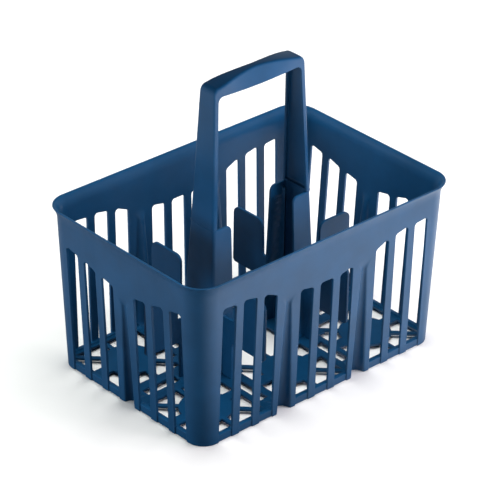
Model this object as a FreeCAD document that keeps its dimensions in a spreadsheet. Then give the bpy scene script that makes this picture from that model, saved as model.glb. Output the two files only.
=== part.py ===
import FreeCAD, Part
import math
import os
import Sketcher

doc = FreeCAD.newDocument("cleaning_caddy")

# Driving dimensions in millimetres. X runs along the caddy, Y across it, Z up;
# the origin is the centre of the underside.
DIMENSIONS = {
    # basket outline at the foot, at the neck under the lip, and at the rim
    "foot_length": 313, "foot_width": 214, "foot_corner": 19,
    "neck_length": 331, "neck_width": 223.7, "neck_corner": 24, "neck_level": 167,
    "rim_length": 340, "rim_width": 233, "rim_corner": 27, "rim_level": 182,
    "wall": 2.8, "band": 5.6, "band_level": 8, "groove": 1.2,
    # slots in the walls, three to a cell
    "slot_width": 17, "slot_pitch": 26.2, "slot_corner": 3.5, "cell_pitch": 100,
    # tops of the slots at their near and far sides, going outwards from the middle of the wall
    "centre_top": 130.5, "beside_near": 130.5, "beside_far": 132.5,
    "inner_near": 140.5, "inner_far": 145, "mid_near": 148, "mid_far": 150,
    "outer_near": 150, "outer_far": 151,
    "end_inner_near": 131, "end_inner_far": 133, "end_mid_near": 136, "end_mid_far": 139,
    "end_outer_near": 142, "end_outer_far": 144,
    # flutes pressed inwards between the cells
    "flute_foot": 2, "flute_radius": 8, "flute_side_radius": 6.2, "flute_tip": 3.2,
    "flute_top": 130, "flute_side_top": 120, "flute_sink": 2.5, "flute_rise": 1.4,
    # floor lattice
    "floor_top": 6, "floor_bottom": 3, "disc_radius": 27, "lattice_side": 82,
    "lattice_x": 107.5, "lattice_y": 57.5, "spoke": 5, "wide_spoke": 12,
    "hatch_length": 76, "hatch_width": 34, "pad_start": 36, "pad_end": 76, "pad_half": 32,
    # divider flags
    "flag_plane": 55, "sheet": 3, "flag_start": 40, "flag_end": 84,
    "side_flag_start": 95, "side_flag_end": 136, "flag_top": 112, "flag_bottom": 47,
    "flag_corner": 8, "root_top": 73,
    # legs of the bow and the sockets that hold them
    "leg_out_foot": 71.5, "leg_half_foot": 24.6, "leg_out_top": 58.2, "leg_half_top": 10.7,
    "leg_depth": 5.4, "skin": 2.6, "leg_corner": 3,
    "socket_level": 167, "socket_step": 0.4, "arm_end": 41, "arm_corner": 7, "gap": 0.2,
    "tongue_half": 13.6, "tongue_level": 60, "rail_half": 12.2, "rail_back": 56.4,
    # grip
    "shoulder_level": 315.5, "crown_level": 320.5, "window_level": 305.5, "window_sag": 1.5,
    "bow_corner": 7, "window_corner": 6, "waist_low": 306, "waist_reach": 52,
    "waist_half": 4.6, "waist_between_half": 7, "waist_end_half": 12, "waist_flare": 0.6,
    # clips
    "lug_half": 5, "lug_low": 74, "lug_high": 81.8, "lug_reach": 3, "shelf_half": 7,
    "hook_width": 10, "hook_sheet": 2.4, "hook_lip": 1.2, "hook_y": 31, "hook_x": 84,
}


def make_sheet():
    sheet = doc.addObject("Spreadsheet::Sheet", "dims")
    for row, (alias, value) in enumerate(DIMENSIONS.items(), start=1):
        sheet.set(f"A{row}", alias)
        sheet.set(f"B{row}", str(value))
        sheet.setAlias(f"B{row}", alias)
    doc.recompute()
    return sheet


sheet = make_sheet()


def full(expression):
    """Turns bare aliases into references to the sheet."""
    words = []
    word = ""
    for letter in expression + " ":
        if letter.isalnum() or letter == "_":
            word += letter
            continue
        words.append("dims." + word if word in DIMENSIONS else word)
        words.append(letter)
        word = ""
    return "".join(words).strip()


def value(expression):
    result = sheet.evalExpression(full(expression))
    return float(getattr(result, "Value", result))


def bind(item, path, expression):
    item.setExpression(path, full(expression))


def at_level(foot, neck):
    """A size of the basket's flank at a level, between its foot and its neck."""
    return lambda level: f"({foot} + ({neck} - {foot}) * ({level}) / neck_level)"


length_at = at_level("foot_length", "neck_length")
width_at = at_level("foot_width", "neck_width")
corner_at = at_level("foot_corner", "neck_corner")


def leg_line(foot, top):
    """A size of the bow's leg at a level, between the floor and the shoulder."""
    return lambda level: f"({foot} + ({top} - {foot}) * ({level}) / shoulder_level)"


leg_out = leg_line("leg_out_foot", "leg_out_top")
leg_half = leg_line("leg_half_foot", "leg_half_top")


def origin_plane(body, role):
    return next(item for item in body.Origin.OriginFeatures if item.Role == role)


def new_body(name):
    return doc.addObject("PartDesign::Body", name)


def new_sketch(body, name, role, offset="0"):
    sketch = body.newObject("Sketcher::SketchObject", name)
    sketch.AttachmentSupport = (origin_plane(body, role), [""])
    sketch.MapMode = "FlatFace"
    bind(sketch, "AttachmentOffset.Base.z", offset)
    return sketch


def arc_between(start, end, radius, left):
    """The short arc from start to end, its centre on the left or right of the chord."""
    chord = end - start
    side = FreeCAD.Vector(-chord.y, chord.x, 0).normalize() * (1 if left else -1)
    middle = (start + end) * 0.5
    centre = middle + side * math.sqrt(max(radius**2 - (chord.Length / 2) ** 2, 0))
    first, last = (start, end) if left else (end, start)
    a0 = math.atan2(first.y - centre.y, first.x - centre.x)
    a1 = math.atan2(last.y - centre.y, last.x - centre.x)
    circle = Part.Circle(centre, FreeCAD.Vector(0, 0, 1), radius)
    return Part.ArcOfCircle(circle, a0, a1 if a1 > a0 else a1 + 2 * math.pi)


def draw(sketch, points):
    """Draws one closed outline. A point is (u, v) for a straight edge to the next point, or
    (u, v, radius, side) for an arc to it, side saying where the centre lies."""
    spots = [FreeCAD.Vector(value(p[0]), value(p[1]), 0) for p in points]
    first = sketch.GeometryCount
    ends = []
    for index, point in enumerate(points):
        start = spots[index]
        end = spots[(index + 1) % len(spots)]
        if len(point) == 2:
            sketch.addGeometry(Part.LineSegment(start, end))
            ends.append((1, 2))
            continue
        left = point[3] == "left"
        edge = sketch.addGeometry(arc_between(start, end, value(point[2]), left))
        ends.append((1, 2) if left else (2, 1))
        rule = sketch.addConstraint(Sketcher.Constraint("Radius", edge, value(point[2])))
        bind(sketch, f"Constraints[{rule}]", point[2])
    for index, point in enumerate(points):
        edge = first + index
        after = (index + 1) % len(points)
        link = Sketcher.Constraint("Coincident", edge, ends[index][1], first + after, ends[after][0])
        sketch.addConstraint(link)
        for kind, expression, number in (("DistanceX", point[0], spots[index].x),
                                         ("DistanceY", point[1], spots[index].y)):
            rule = sketch.addConstraint(
                Sketcher.Constraint(kind, -1, 1, edge, ends[index][0], number))
            bind(sketch, f"Constraints[{rule}]", expression)


def rounded_box(low_u, high_u, low_v, high_v, radius):
    """Corner points of a rounded rectangle, counter-clockwise."""
    return [
        (f"{low_u} + {radius}", low_v), (f"{high_u} - {radius}", low_v, radius, "left"),
        (high_u, f"{low_v} + {radius}"), (high_u, f"{high_v} - {radius}", radius, "left"),
        (f"{high_u} - {radius}", high_v), (f"{low_u} + {radius}", high_v, radius, "left"),
        (low_u, f"{high_v} - {radius}"), (low_u, f"{low_v} + {radius}", radius, "left"),
    ]


def centred(length, width, radius):
    return rounded_box(f"-({length}) / 2", f"({length}) / 2", f"-({width}) / 2",
                       f"({width}) / 2", f"({radius})")


def loft(body, name, sections, cut=False, ruled=True):
    """Lofts between outlines given as (level, points)."""
    sketches = []
    for number, (level, points) in enumerate(sections):
        sketch = new_sketch(body, f"{name}_{number}", "XY_Plane", level)
        draw(sketch, points)
        sketches.append(sketch)
    kind = "PartDesign::SubtractiveLoft" if cut else "PartDesign::AdditiveLoft"
    feature = body.newObject(kind, name)
    feature.Profile = sketches[0]
    feature.Sections = sketches[1:]
    feature.Ruled = ruled
    return feature


def pad(body, name, sketch, length, both=False):
    feature = body.newObject("PartDesign::Pad", name)
    feature.Profile = sketch
    bind(feature, "Length", length)
    feature.Midplane = both
    return feature


def box(name, low, size):
    item = doc.addObject("Part::Box", name)
    for path, expression in zip(("Length", "Width", "Height"), size):
        bind(item, path, expression)
    for path, expression in zip("xyz", low):
        bind(item, f"Placement.Base.{path}", expression)
    return item


def fuse(name, shapes):
    item = doc.addObject("Part::MultiFuse", name)
    item.Shapes = shapes
    return item


def cut(name, base, tool):
    item = doc.addObject("Part::Cut", name)
    item.Base = base
    item.Tool = tool
    return item


def common(name, base, tool):
    item = doc.addObject("Part::Common", name)
    item.Base = base
    item.Tool = tool
    return item


# ---------------------------------------------------------------- basket

# The lip flares along a curve: shares of its rise above the neck and of its reach outwards.
LIP = (("0.36", "0.1"), ("0.7", "0.42"), ("1", "1"))


def lip_section(rise, reach, inset):
    level = f"neck_level + (rim_level - neck_level) * {rise}"
    length = f"neck_length + (rim_length - neck_length) * {reach} - 2 * ({inset})"
    width = f"neck_width + (rim_width - neck_width) * {reach} - 2 * ({inset})"
    corner = f"neck_corner + (rim_corner - neck_corner) * {reach} - ({inset})"
    return level, centred(length, width, corner)


def flank_section(level, inset):
    return level, centred(f"{length_at(level)} - 2 * ({inset})",
                          f"{width_at(level)} - 2 * ({inset})",
                          f"{corner_at(level)} - ({inset})")


def make_outer_form():
    body = new_body("outer_form")
    loft(body, "flank", [flank_section("0", "0"), flank_section("neck_level", "0")])
    lip = [flank_section("neck_level", "0")] + [lip_section(*step, "0") for step in LIP]
    loft(body, "lip", lip, ruled=False)
    return body


def make_inner_form():
    body = new_body("inner_form")
    loft(body, "room", [flank_section("band_level", "wall"), flank_section("neck_level", "wall")])
    mouth = [flank_section("neck_level", "wall")] + [lip_section(*step, "wall") for step in LIP]
    loft(body, "mouth", mouth, ruled=False)
    over = new_sketch(body, "over_outline", "XY_Plane", "rim_level")
    draw(over, lip_section("1", "1", "wall")[1])
    pad(body, "over", over, "band")
    low = new_sketch(body, "low_outline", "XY_Plane", "floor_top")
    draw(low, flank_section("floor_top", "band")[1])
    pad(body, "low", low, "band_level - floor_top")
    return body


def cone_pair(name, x, y, angle, axis, radius, top, extra):
    """A leaning cone with a ball on its tip: the form of one flute."""
    cone = doc.addObject("Part::Cone", f"{name}_cone")
    bind(cone, "Radius1", f"{radius} + {extra}")
    bind(cone, "Radius2", f"flute_tip + {extra}")
    bind(cone, "Height", f"{top} + flute_foot")
    ball = doc.addObject("Part::Sphere", f"{name}_ball")
    bind(ball, "Radius", f"flute_tip + {extra}")
    for item in (cone, ball):
        item.Placement = FreeCAD.Placement(FreeCAD.Vector(), FreeCAD.Rotation(axis, 0))
    bind(cone, "Placement.Rotation.Angle", angle)
    bind(cone, "Placement.Base.x", x[0])
    bind(cone, "Placement.Base.y", y[0])
    bind(cone, "Placement.Base.z", "-flute_foot")
    bind(ball, "Placement.Base.x", x[1])
    bind(ball, "Placement.Base.y", y[1])
    bind(ball, "Placement.Base.z", top)
    return [cone, ball]


def make_flutes(name, extra):
    """Six flutes: two on each long wall and one on each short wall."""
    parts = []
    low_y = "(foot_width / 2 - flute_sink)"
    high_y = f"({width_at('flute_top')} / 2 + flute_rise)"
    lean_y = f"atan(({high_y} - {low_y}) / (flute_top + flute_foot))"
    for side in (-1, 1):
        for end in (-1, 1):
            x = f"{end} * cell_pitch / 2"
            parts += cone_pair(f"{name}_{'fb'[side > 0]}{'lr'[end > 0]}", (x, x),
                               (f"{side} * {low_y}", f"{side} * {high_y}"),
                               f"{-side} * {lean_y}", FreeCAD.Vector(1, 0, 0),
                               "flute_radius", "flute_top", extra)
    low_x = "(foot_length / 2 - flute_sink)"
    high_x = f"({length_at('flute_side_top')} / 2 + flute_rise)"
    lean_x = f"atan(({high_x} - {low_x}) / (flute_side_top + flute_foot))"
    for end in (-1, 1):
        parts += cone_pair(f"{name}_{'lr'[end > 0]}", (f"{end} * {low_x}", f"{end} * {high_x}"),
                           ("0", "0"), f"{end} * {lean_x}", FreeCAD.Vector(0, 1, 0),
                           "flute_side_radius", "flute_side_top", extra)
    return fuse(name, parts)


# Slots: the centre of the cell, the slot's count of pitches from it, and the slot's top at
# its near and far sides.
LONG_SLOTS = (("0", 1, "beside_near", "beside_far"), ("cell_pitch", -1, "inner_near", "inner_far"),
              ("cell_pitch", 0, "mid_near", "mid_far"), ("cell_pitch", 1, "outer_near", "outer_far"))
MIDDLE_SLOT = ("0", "centre_top", "centre_top")
SIDE_SLOTS = (("cell_pitch / 2", -1, "end_inner_near", "end_inner_far"),
              ("cell_pitch / 2", 0, "end_mid_near", "end_mid_far"),
              ("cell_pitch / 2", 1, "end_outer_near", "end_outer_far"))


def slot_outline(middle, low_side, high_side):
    """A slot standing on the band, its top sloping and its top corners rounded."""
    left = f"({middle} - slot_width / 2)"
    right = f"({middle} + slot_width / 2)"
    return [
        (left, "band_level"), (right, "band_level"),
        (right, f"{high_side} - slot_corner", "slot_corner", "left"),
        (f"{right} - slot_corner", f"{high_side}"),
        (f"{left} + slot_corner", f"{low_side}", "slot_corner", "left"),
        (left, f"{low_side} - slot_corner"),
    ]


def slot_set(slots):
    """Every slot of a wall as (middle, level at its left side, level at its right side)."""
    found = []
    for cell, step, near, far in slots:
        middle = f"({cell} + {step} * slot_pitch)"
        found.append((middle, near, far))
        found.append((f"-{middle}", far, near))
    return found


def make_slot_tool(name, slots, role):
    body = new_body(name)
    body.AllowCompound = True
    sketch = new_sketch(body, f"{name}_outline", role)
    for middle, low_side, high_side in slots:
        draw(sketch, slot_outline(middle, low_side, high_side))
    pad(body, f"{name}_pad", sketch, "rim_length + wall", both=True)
    return body


def make_grooves(name, slots, along_x):
    """Under each slot the outer face is cut back down to the foot."""
    tools = []
    for number, (middle, _, _) in enumerate(slots):
        for side in (-1, 1):
            outer = "foot_width" if along_x else "foot_length"
            inner_face = f"({outer} / 2 - groove)"
            depth = "3 * wall"
            start = inner_face if side > 0 else f"(-{inner_face} - {depth})"
            low = (f"{middle} - slot_width / 2", start) if along_x else (
                start, f"{middle} - slot_width / 2")
            size = ("slot_width", depth) if along_x else (depth, "slot_width")
            tools.append(box(f"{name}_{number}_{'ab'[side > 0]}", (*low, "-wall"),
                             (*size, "band_level + wall")))
    return fuse(name, tools)


def make_cell_openings(number, x, y):
    """The openings of one cell's floor: a square less a disc and its spokes."""
    name = f"cell_{number}"
    side = "lattice_side"
    depth = "floor_top + wall"
    square = box(f"{name}_square", (f"{x} - {side} / 2", f"{y} - {side} / 2", "-wall / 2"),
                 (side, side, depth))
    disc = doc.addObject("Part::Cylinder", f"{name}_disc")
    bind(disc, "Radius", "disc_radius")
    bind(disc, "Height", depth)
    bind(disc, "Placement.Base.x", x)
    bind(disc, "Placement.Base.y", y)
    bind(disc, "Placement.Base.z", "-wall / 2")
    keep = [disc]
    keep.append(box(f"{name}_bar_x", (f"{x} - {side}", f"{y} - wide_spoke / 2", "-wall / 2"),
                    (f"2 * {side}", "wide_spoke", depth)))
    keep.append(box(f"{name}_bar_y", (f"{x} - spoke / 2", f"{y} - {side}", "-wall / 2"),
                    ("spoke", f"2 * {side}", depth)))
    for angle in (45, 135):
        bar = box(f"{name}_bar_{angle}", (x, y, "-wall / 2"), (f"2 * {side}", "spoke", depth))
        bind(bar, "Placement.Base.x", f"{x} - {side} * cos({angle}) + spoke / 2 * sin({angle})")
        bind(bar, "Placement.Base.y", f"{y} - {side} * sin({angle}) - spoke / 2 * cos({angle})")
        bar.Placement.Rotation = FreeCAD.Rotation(FreeCAD.Vector(0, 0, 1), angle)
        keep.append(bar)
    return cut(f"{name}_openings", square, fuse(f"{name}_ribs", keep))


def make_inside_plan():
    """The floor's area inside the band, which the openings keep to."""
    body = new_body("inside_plan")
    sketch = new_sketch(body, "inside_outline", "XY_Plane", "-wall")
    draw(sketch, flank_section("0", "band")[1])
    pad(body, "inside_pad", sketch, "floor_top + 2 * wall")
    return body


def make_floor_openings():
    tools = []
    number = 0
    for column in (-1, 0, 1):
        for row in (-1, 1):
            tools.append(make_cell_openings(number, f"{column} * lattice_x", f"{row} * lattice_y"))
            number += 1
    pads = []
    low = ("-wall / 2", "floor_top + wall")
    for end in (-1, 1):
        start = "pad_start" if end > 0 else "-pad_end"
        pads.append(box(f"pad_{'lr'[end > 0]}", (start, "-pad_half", low[0]),
                        ("pad_end - pad_start", "2 * pad_half", low[1])))
    inner_cells = common("inner_cells", fuse("cells", tools), make_inside_plan())
    lattice = cut("lattice", inner_cells, fuse("pads", pads))
    hatches = [box("hatch", ("-hatch_length / 2", "-hatch_width / 2", low[0]),
                   ("hatch_length", "hatch_width", low[1]))]
    for end in (-1, 1):
        side_start = "side_flag_start" if end > 0 else "-side_flag_end"
        hatches.append(box(f"side_gap_{'lr'[end > 0]}", (side_start, "-spoke", low[0]),
                           ("side_flag_end - side_flag_start", "2 * spoke", low[1])))
        for side in (-1, 1):
            start = "flag_start + sheet" if side > 0 else "-flag_end"
            hatches.append(box(f"gap_{'lr'[end > 0]}{'fb'[side > 0]}",
                               (f"{end} * flag_plane - spoke", start, low[0]),
                               ("2 * spoke", "flag_end - flag_start - sheet", low[1])))
    return fuse("floor_openings", [lattice] + hatches + hook_spaces())


def hook_spots():
    """Where the hooks pass through the floor: centre and whether they lie along X."""
    spots = []
    for end in (-1, 1):
        spots.append((f"{end} * hook_x", "0", True))
        for side in (-1, 1):
            spots.append((f"{end} * flag_plane", f"{side} * hook_y", False))
    return spots


def hook_spaces():
    """Slots in the floor for the hooks of the dividers."""
    spaces = []
    for number, (x, y, along_x) in enumerate(hook_spots()):
        wide = "(hook_width + 2 * gap)"
        thin = "(hook_sheet + 2 * gap)"
        size = (wide, thin) if along_x else (thin, wide)
        spaces.append(box(f"hook_space_{number}",
                          (f"{x} - {size[0]} / 2", f"{y} - {size[1]} / 2", "-wall / 2"),
                          (*size, "floor_top + wall")))
    return spaces


def make_underside():
    """The hollow under the floor, inside the foot ring."""
    body = new_body("underside")
    sketch = new_sketch(body, "underside_outline", "XY_Plane", "-wall")
    draw(sketch, flank_section("0", "band")[1])
    pad(body, "underside_pad", sketch, "floor_bottom + wall")
    return body


def make_basket():
    room = cut("room_less_flutes", make_inner_form(), make_flutes("flute_backs", "wall"))
    shell = cut("shell", make_outer_form(), room)
    long_slots = slot_set(LONG_SLOTS) + [MIDDLE_SLOT]
    side_slots = slot_set(SIDE_SLOTS)
    tools = [
        make_flutes("flutes", "0"),
        make_underside(),
        make_slot_tool("long_slots", long_slots, "XZ_Plane"),
        make_slot_tool("side_slots", side_slots, "YZ_Plane"),
        make_grooves("long_grooves", long_slots, True),
        make_grooves("side_grooves", side_slots, False),
        make_floor_openings(),
    ]
    return cut("basket", shell, fuse("basket_cuts", tools))


# ---------------------------------------------------------------- dividers

def socket_half(level):
    return f"({leg_half(level)} + socket_step)"


def socket_section(level, inset, inner):
    return level, rounded_box(inner, f"({leg_out(level)} - {inset})",
                              f"-({socket_half(level)} - {inset})",
                              f"({socket_half(level)} - {inset})", f"(leg_corner - {inset} / 2)")


def make_socket_form():
    """The outside of a socket, flaring towards the floor, its inner top corners rounded."""
    body = new_body("socket_form")
    loft(body, "channel", [socket_section("floor_top", "0", "arm_end"),
                           socket_section("socket_level", "0", "arm_end")])
    tip = new_sketch(body, "tip_outline", "XZ_Plane")
    low = "socket_level - arm_corner"
    draw(tip, [
        ("arm_end - skin", low), ("arm_end", low, "arm_corner", "right"),
        ("arm_end + arm_corner", "socket_level"), ("arm_end + arm_corner", "socket_level + skin"),
        ("arm_end - skin", "socket_level + skin"),
    ])
    pocket = body.newObject("PartDesign::Pocket", "arm_tips")
    pocket.Profile = tip
    pocket.Midplane = True
    bind(pocket, "Length", "4 * leg_half_foot")
    return body


def make_socket_hollow():
    """The hollow of a socket, open towards the middle of the caddy."""
    body = new_body("socket_hollow")
    loft(body, "hollow", [socket_section("floor_top - skin", "skin", "(arm_end / 2)"),
                          socket_section("socket_level + skin", "skin", "(arm_end / 2)")])
    return body


def flag_outline(root, start, end):
    """A plate that stands on the floor at its root and carries a flag clear of the floor."""
    return [
        (root, "floor_top"), (f"{start} - sheet", "floor_top"),
        (f"{start} - sheet", "flag_bottom - sheet", "sheet", "right"),
        (start, "flag_bottom"), (f"{end} - flag_corner / 2", "flag_bottom", "flag_corner / 2", "left"),
        (end, "flag_bottom + flag_corner / 2"),
        (end, "flag_top - flag_corner", "flag_corner", "left"),
        (f"{end} - flag_corner", "flag_top"),
        (f"{start} + flag_corner", "flag_top", "flag_corner", "left"),
        (start, "flag_top - flag_corner"), (start, "root_top + sheet", "sheet", "right"),
        (f"{start} - sheet", "root_top"), (root, "root_top"),
    ]


def make_flag(name, role, root, start, end, offset):
    body = new_body(name)
    sketch = new_sketch(body, f"{name}_outline", role, offset)
    draw(sketch, flag_outline(root, start, end))
    pad(body, f"{name}_pad", sketch, "sheet", both=True)
    return body


def make_hook(name, x, y, turn):
    """A leg through the floor with a lip that catches under it."""
    body = new_body(name)
    sketch = new_sketch(body, f"{name}_outline", "XZ_Plane")
    half = "hook_sheet / 2"
    draw(sketch, [
        (f"-{half}", "gap"), (half, "gap"), (f"{half} + hook_lip", "floor_bottom - 4 * gap"),
        (f"{half} + hook_lip", "floor_bottom - gap"), (half, "floor_bottom - gap"),
        (half, "floor_top + sheet"), (f"-{half}", "floor_top + sheet"),
    ])
    pad(body, f"{name}_pad", sketch, "hook_width", both=True)
    body.Placement.Rotation = FreeCAD.Rotation(FreeCAD.Vector(0, 0, 1), turn)
    bind(body, "Placement.Base.x", x)
    bind(body, "Placement.Base.y", y)
    return body


def tongue_box(name, slack):
    """The straight plate under a leg of the bow, or the space it needs."""
    inner = f"{leg_out('socket_level')} - leg_depth"
    return box(name, (f"{inner} - {slack}", f"-(tongue_half + {slack})", f"tongue_level - {slack}"),
               (f"leg_depth - skin - gap + 2 * {slack}", f"2 * (tongue_half + {slack})",
                f"socket_level - tongue_level + skin / 2 + {slack}"))


def make_divider(label):
    """The right-hand divider: a socket with rails and a shelf for the tongue of the bow, a
    flag on three sides, and hooks that hold it down."""
    form = make_socket_form()
    rail_boxes = []
    for side in (-1, 1):
        start = "rail_half" if side > 0 else "-(2 * rail_half)"
        rail_boxes.append(box(f"rail_{'fb'[side > 0]}", ("rail_back", start, "tongue_level"), (
            "leg_out_foot - rail_back", "rail_half",
            "socket_level - arm_corner - tongue_level")))
    rails = common("rails", form, fuse("rail_boxes", rail_boxes))
    parts = [cut("socket", form, make_socket_hollow()), rails]
    flag = make_flag("flag", "YZ_Plane", f"({socket_half('root_top')} - skin / 2)",
                     "flag_start", "flag_end", "flag_plane")
    mirror = doc.addObject("Part::Mirroring", "flag_mirror")
    mirror.Source = flag
    mirror.Normal = FreeCAD.Vector(0, 1, 0)
    parts += [flag, mirror]
    for side in (-1, 1):
        parts.append(make_hook(f"hook_{'fb'[side > 0]}", "flag_plane", f"{side} * hook_y", 0))
    parts.append(make_flag("side_flag", "XZ_Plane", f"({leg_out('root_top')} - skin / 2)",
                           "side_flag_start", "side_flag_end", "0"))
    parts.append(make_hook("hook_side", "hook_x", "0", 90))
    shelf_start = f"({leg_out('socket_level')} - skin)"
    parts.append(box("shelf", (shelf_start, "-shelf_half", "lug_high + gap"), (
        f"{leg_out('lug_high + skin')} - skin / 2 - {shelf_start}", "2 * shelf_half", "skin")))
    return cut(label, fuse("divider_whole", parts), tongue_box("tongue_space", "gap"))


def make_left_divider(right):
    """The left-hand divider is the mirror image of the right-hand one."""
    left = doc.addObject("Part::Mirroring", "divider_left")
    left.Source = right
    left.Normal = FreeCAD.Vector(1, 0, 0)
    return left


# ---------------------------------------------------------------- bow

def bow_outline(inset):
    """The outside of the bow seen from the front, between its feet at the socket level."""
    foot = "socket_level"
    out = f"({leg_out(foot)} - {inset})"
    turn = "(shoulder_level - bow_corner)"
    top = f"(shoulder_level - {inset})"
    side = f"({leg_out('(shoulder_level - bow_corner)')} - {inset})"
    radius = f"(bow_corner - {inset})"
    reach = f"({side} - {radius})"
    rise = "(crown_level - shoulder_level)"
    crown = f"({reach} * {reach} / (2 * {rise}) + {rise} / 2)"
    return [
        (out, foot), (side, turn, radius, "left"), (reach, top, crown, "left"),
        (f"-{reach}", top, radius, "left"), (f"-{side}", turn), (f"-{out}", foot),
    ]


def window_outline():
    """The hand opening, from one foot of the bow up, across and down to the other."""
    foot = "socket_level"
    low = f"({leg_out(foot)} - leg_depth)"
    turn = "(window_level - window_corner)"
    side = f"({leg_out(turn)} - leg_depth)"
    reach = f"({side} - window_corner)"
    sag = f"({reach} * {reach} / (2 * window_sag) + window_sag / 2)"
    return [
        (f"-{low}", foot), (f"-{side}", turn, "window_corner", "right"),
        (f"-{reach}", "window_level", sag, "left"),
        (reach, "window_level", "window_corner", "right"), (side, turn), (low, foot),
    ]


def flank_outline(inset):
    """What lies outside the bow's tapering flank, seen from its end."""
    low = "(socket_level - skin)"
    high = "(crown_level + skin)"
    near = f"({leg_half(low)} - {inset})"
    far = f"({leg_half(high)} - {inset})"
    wide = "(2 * leg_half_foot)"
    return [(near, low), (wide, low), (wide, high), (far, high)]


def mirrored_points(points):
    """The same outline on the other side of the centre line, its order kept."""
    return [(f"-{point[0]}", point[1]) for point in reversed(points)]


def make_bow_solid(name, outline, inset):
    """A front outline padded across the caddy and cut down to the tapering flanks."""
    body = new_body(name)
    front = new_sketch(body, f"{name}_front", "XZ_Plane")
    draw(front, outline)
    pad(body, f"{name}_pad", front, "2 * leg_half_foot", both=True)
    end = new_sketch(body, f"{name}_end", "YZ_Plane")
    draw(end, flank_outline(inset))
    draw(end, mirrored_points(flank_outline(inset)))
    pocket = body.newObject("PartDesign::Pocket", f"{name}_flanks")
    pocket.Profile = end
    pocket.Midplane = True
    bind(pocket, "Length", "4 * leg_out_foot")
    return body


def round_edges(body, name, radius, chosen):
    """Rounds the edges of the body's last feature that the test picks."""
    doc.recompute()
    base = body.Tip
    picked = [f"Edge{n}" for n, edge in enumerate(base.Shape.Edges, start=1) if chosen(edge)]
    feature = body.newObject("PartDesign::Fillet", name)
    feature.Base = (base, picked)
    bind(feature, "Radius", radius)


# How far an edge's middle may lie from the flank and from the outer face to count as on them.
TOUCH = 0.05
NEAR = 0.5


def outer_edge(edge):
    """The long edges that run up the outside of the legs and over the grip."""
    middle = edge.valueAt((edge.FirstParameter + edge.LastParameter) / 2)
    flank = abs(abs(middle.y) - value(leg_half(f"{middle.z}"))) < TOUCH
    outside = abs(abs(middle.x) - value(leg_out(f"{middle.z}"))) < NEAR
    above = middle.z > value("shoulder_level - bow_corner")
    return flank and (outside or above)


def make_waist(name, inset):
    """The wedge shaved off one side of the grip, deepest at its middle."""
    body = new_body(name)
    stations = ((-1, "waist_end_half"), (-0.5, "waist_between_half"), (0, "waist_half"),
                (0.5, "waist_between_half"), (1, "waist_end_half"))
    sketches = []
    high = "(crown_level + skin)"
    for number, (share, half) in enumerate(stations):
        sketch = new_sketch(body, f"{name}_{number}", "YZ_Plane", f"{share} * waist_reach")
        low_half = f"({leg_half('waist_low')} + waist_flare * abs({share}) - {inset})"
        slope = f"(({low_half} - ({half} - {inset})) / (crown_level - waist_low))"
        draw(sketch, [
            (low_half, f"waist_low - {inset}"), (f"{low_half} + leg_half_top", f"waist_low - {inset}"),
            (f"{low_half} + leg_half_top", high), (f"{half} - {inset} - {slope} * skin", high),
        ])
        sketches.append(sketch)
    feature = body.newObject("PartDesign::AdditiveLoft", f"{name}_loft")
    feature.Profile = sketches[0]
    feature.Sections = sketches[1:]
    mirror = doc.addObject("Part::Mirroring", f"{name}_mirror")
    mirror.Source = body
    mirror.Normal = FreeCAD.Vector(0, 1, 0)
    return fuse(f"{name}_pair", [body, mirror])


def make_bow(label):
    """An arched handle of channel section, open towards the hand, on two tongues."""
    outline = bow_outline("0") + window_outline()
    form = make_bow_solid("bow_form", outline, "0")
    round_edges(form, "bow_rounding", "leg_corner", outer_edge)
    room = make_bow_solid("bow_room", bow_outline("skin"), "skin")
    hollow = cut("hollow", room, make_waist("inner_waist", "skin"))
    shell = cut("bow_shell", cut("waisted", form, make_waist("waist", "0")), hollow)
    parts = [shell]
    inner = f"({leg_out('socket_level')} - leg_depth)"
    for end in (-1, 1):
        name = "lr"[end > 0]
        sole_start = inner if end > 0 else f"-({inner} + leg_depth)"
        sole = box(f"sole_{name}", (sole_start, f"-{leg_half('socket_level')} + gap", "socket_level"),
                   ("leg_depth - gap", f"2 * {leg_half('socket_level')} - 2 * gap", "skin"))
        parts.append(sole)
    tongue = tongue_box("tongue", "0")
    lug = box("lug", (f"{inner} + leg_depth - skin - 2 * gap", "-lug_half", "lug_low"),
              ("lug_reach", "2 * lug_half", "lug_high - lug_low"))
    foot = fuse("foot_right", [tongue, lug])
    mirror = doc.addObject("Part::Mirroring", "foot_left")
    mirror.Source = foot
    mirror.Normal = FreeCAD.Vector(1, 0, 0)
    return fuse(label, parts + [foot, mirror])


def finish(parts):
    doc.recompute()
    for item in doc.Objects:
        if "Invalid" in item.State or "Error" in item.State:
            raise RuntimeError(f"{item.Label} failed: {item.getStatusString()}")
    os.makedirs("parts", exist_ok=True)
    for item in parts:
        shape = item.Shape
        if shape.isNull() or not shape.isValid():
            raise RuntimeError(f"{item.Label} has no valid shape")
        print(item.Label, len(shape.Solids), round(shape.Volume / 1000, 1), shape.BoundBox)
        shape.exportStep(f"parts/{item.Label}.step")


divider = make_divider("divider_right")
finish([make_basket(), divider, make_left_divider(divider), make_bow("handle_bow")])
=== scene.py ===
"""A moulded cleaning caddy on a pale studio floor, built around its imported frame."""
import math

import bmesh
import bpy
import numpy as np
from mathutils import Matrix, Vector
from mathutils.geometry import delaunay_2d_cdt
from mathutils.kdtree import KDTree


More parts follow.
